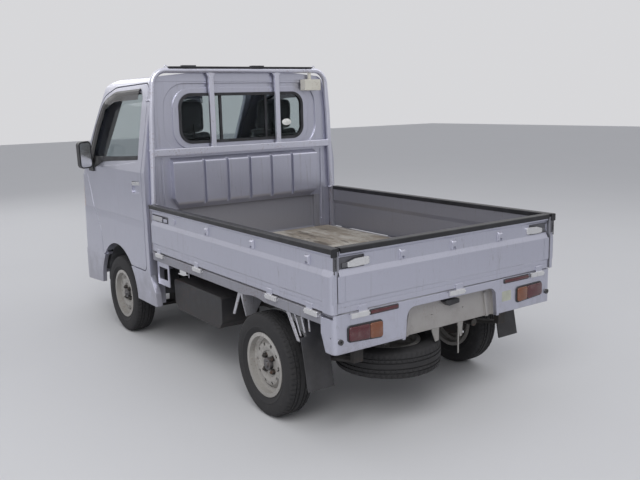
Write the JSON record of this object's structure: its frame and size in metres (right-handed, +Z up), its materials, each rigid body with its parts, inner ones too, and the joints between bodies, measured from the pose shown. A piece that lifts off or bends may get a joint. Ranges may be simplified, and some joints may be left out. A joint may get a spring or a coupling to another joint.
{
  "type": "kei truck",
  "caption": "Small silver cab-over pickup with a drop-side bed, a guard frame behind the cab, steel wheels and opening doors and gates.",
  "frame": {"origin": "bottom centre of the bounding box, on the ground between the wheels", "axes": "+Z up, +Y to the rear, +X to the vehicle's left side"},
  "size_m": [1.727, 3.395, 1.816],
  "materials": {
    "body_paint": "metallic silver paint, dull with age",
    "bed_paint": "worn silver-grey paint with scratches",
    "underbody": "dusty grey paint with rust",
    "wheel_steel": "light grey paint with speckled dirt",
    "tyre_rubber": "worn dusty rubber",
    "black_rubber": "matt weathered rubber",
    "black_plastic": "fine grain",
    "glass": "clear, slightly dark",
    "lamp_lens": "moulded lens",
    "lamp_cream": "cream paint, yellowed",
    "plywood": "worn and stained plywood",
    "seat_cloth": "dark woven cloth",
    "engine_iron": "bare casting",
    "plate_steel": "dull zinc plate"
  },
  "bodies": {
    "truck": {"bed_deck": "bed_paint", "cab_floor": "underbody", "cab_rear_panel": "body_paint", "cab_roof": "body_paint", "cab_side_frames": "body_paint", "chassis_frame": "underbody", "dashboard": "black_plastic", "engine_block": "engine_iron", "exhaust": "underbody", "filler_bracket": "bed_paint", "front_bumper": "body_paint", "front_grille": "black_plastic", "front_panel": "body_paint", "front_suspension": "underbody", "fuel_tank": "underbody", "gearbox": "engine_iron", "guard_frame": "bed_paint", "guard_rubber": "black_rubber", "headlamps": "lamp_lens", "leaf_springs": "underbody", "mud_flaps": "black_rubber", "plate_brackets": "plate_steel", "plate_lamp": "black_plastic", "plywood_sheet": "plywood", "propeller_shaft": "underbody", "rear_axle": "underbody", "rear_valance": "body_paint", "rear_window_panes": "glass", "rear_window_seal": "black_rubber", "seat_left": "seat_cloth", "seat_right": "seat_cloth", "spare_rim": "wheel_steel", "spare_tyre": "tyre_rubber", "steering_wheel": "black_plastic", "tail_lamps": "lamp_lens", "windscreen": "glass", "wipers": "black_rubber", "work_lamp": "lamp_cream"},
    "door_left": {"door_left": "body_paint", "door_glass_left": "glass", "mirror_left": "black_plastic"},
    "door_right": {"door_right": "body_paint", "door_glass_right": "glass", "mirror_right": "black_plastic"},
    "side_gate_left": {"side_gate_left": "body_paint", "gate_trim_left": "black_rubber"},
    "side_gate_right": {"side_gate_right": "body_paint", "gate_trim_right": "black_rubber"},
    "tail_gate": {"tail_gate": "body_paint", "gate_trim_tail": "black_rubber"},
    "knuckle_left": {"knuckle_left": "underbody"},
    "knuckle_right": {"knuckle_right": "underbody"},
    "wheel_fl": {"tyre_fl": "tyre_rubber", "rim_fl": "wheel_steel"},
    "wheel_fr": {"tyre_fr": "tyre_rubber", "rim_fr": "wheel_steel"},
    "wheel_rl": {"tyre_rl": "tyre_rubber", "rim_rl": "wheel_steel"},
    "wheel_rr": {"tyre_rr": "tyre_rubber", "rim_rr": "wheel_steel"}
  },
  "joints": [
    {"name": "steer_left", "type": "hinge", "parent": "truck", "child": "knuckle_left", "pos_m": [0.612, -0.845, 0.268], "axis": [0, 0, 1], "range_deg": [-35, 35]},
    {"name": "steer_right", "type": "hinge", "parent": "truck", "child": "knuckle_right", "pos_m": [-0.612, -0.845, 0.268], "axis": [0, 0, 1], "range_deg": [-35, 35]},
    {"name": "wheel_fl", "type": "hinge", "parent": "knuckle_left", "child": "wheel_fl", "pos_m": [0.6525, -0.845, 0.268], "axis": [1, 0, 0], "continuous": true},
    {"name": "wheel_fr", "type": "hinge", "parent": "knuckle_right", "child": "wheel_fr", "pos_m": [-0.6525, -0.845, 0.268], "axis": [1, 0, 0], "continuous": true},
    {"name": "wheel_rl", "type": "hinge", "parent": "truck", "child": "wheel_rl", "pos_m": [0.65, 1.055, 0.268], "axis": [1, 0, 0], "continuous": true},
    {"name": "wheel_rr", "type": "hinge", "parent": "truck", "child": "wheel_rr", "pos_m": [-0.65, 1.055, 0.268], "axis": [1, 0, 0], "continuous": true},
    {"name": "door_left", "type": "hinge", "parent": "truck", "child": "door_left", "pos_m": [0.7375, -1.358, 1], "axis": [0, 0, -1], "range_deg": [0, 70]},
    {"name": "door_right", "type": "hinge", "parent": "truck", "child": "door_right", "pos_m": [-0.7375, -1.358, 1], "axis": [0, 0, 1], "range_deg": [0, 70]},
    {"name": "side_gate_left", "type": "hinge", "parent": "truck", "child": "side_gate_left", "pos_m": [0.7315, 0.7, 0.648], "axis": [0, 1, 0], "range_deg": [0, 175]},
    {"name": "side_gate_right", "type": "hinge", "parent": "truck", "child": "side_gate_right", "pos_m": [-0.7315, 0.7, 0.648], "axis": [0, -1, 0], "range_deg": [0, 175]},
    {"name": "tail_gate", "type": "hinge", "parent": "truck", "child": "tail_gate", "pos_m": [0, 1.6915, 0.648], "axis": [-1, 0, 0], "range_deg": [0, 175]}
  ],
  "couplings": [
    {"joint": "steer_right", "follows": "steer_left", "ratio": 1}
  ]
}
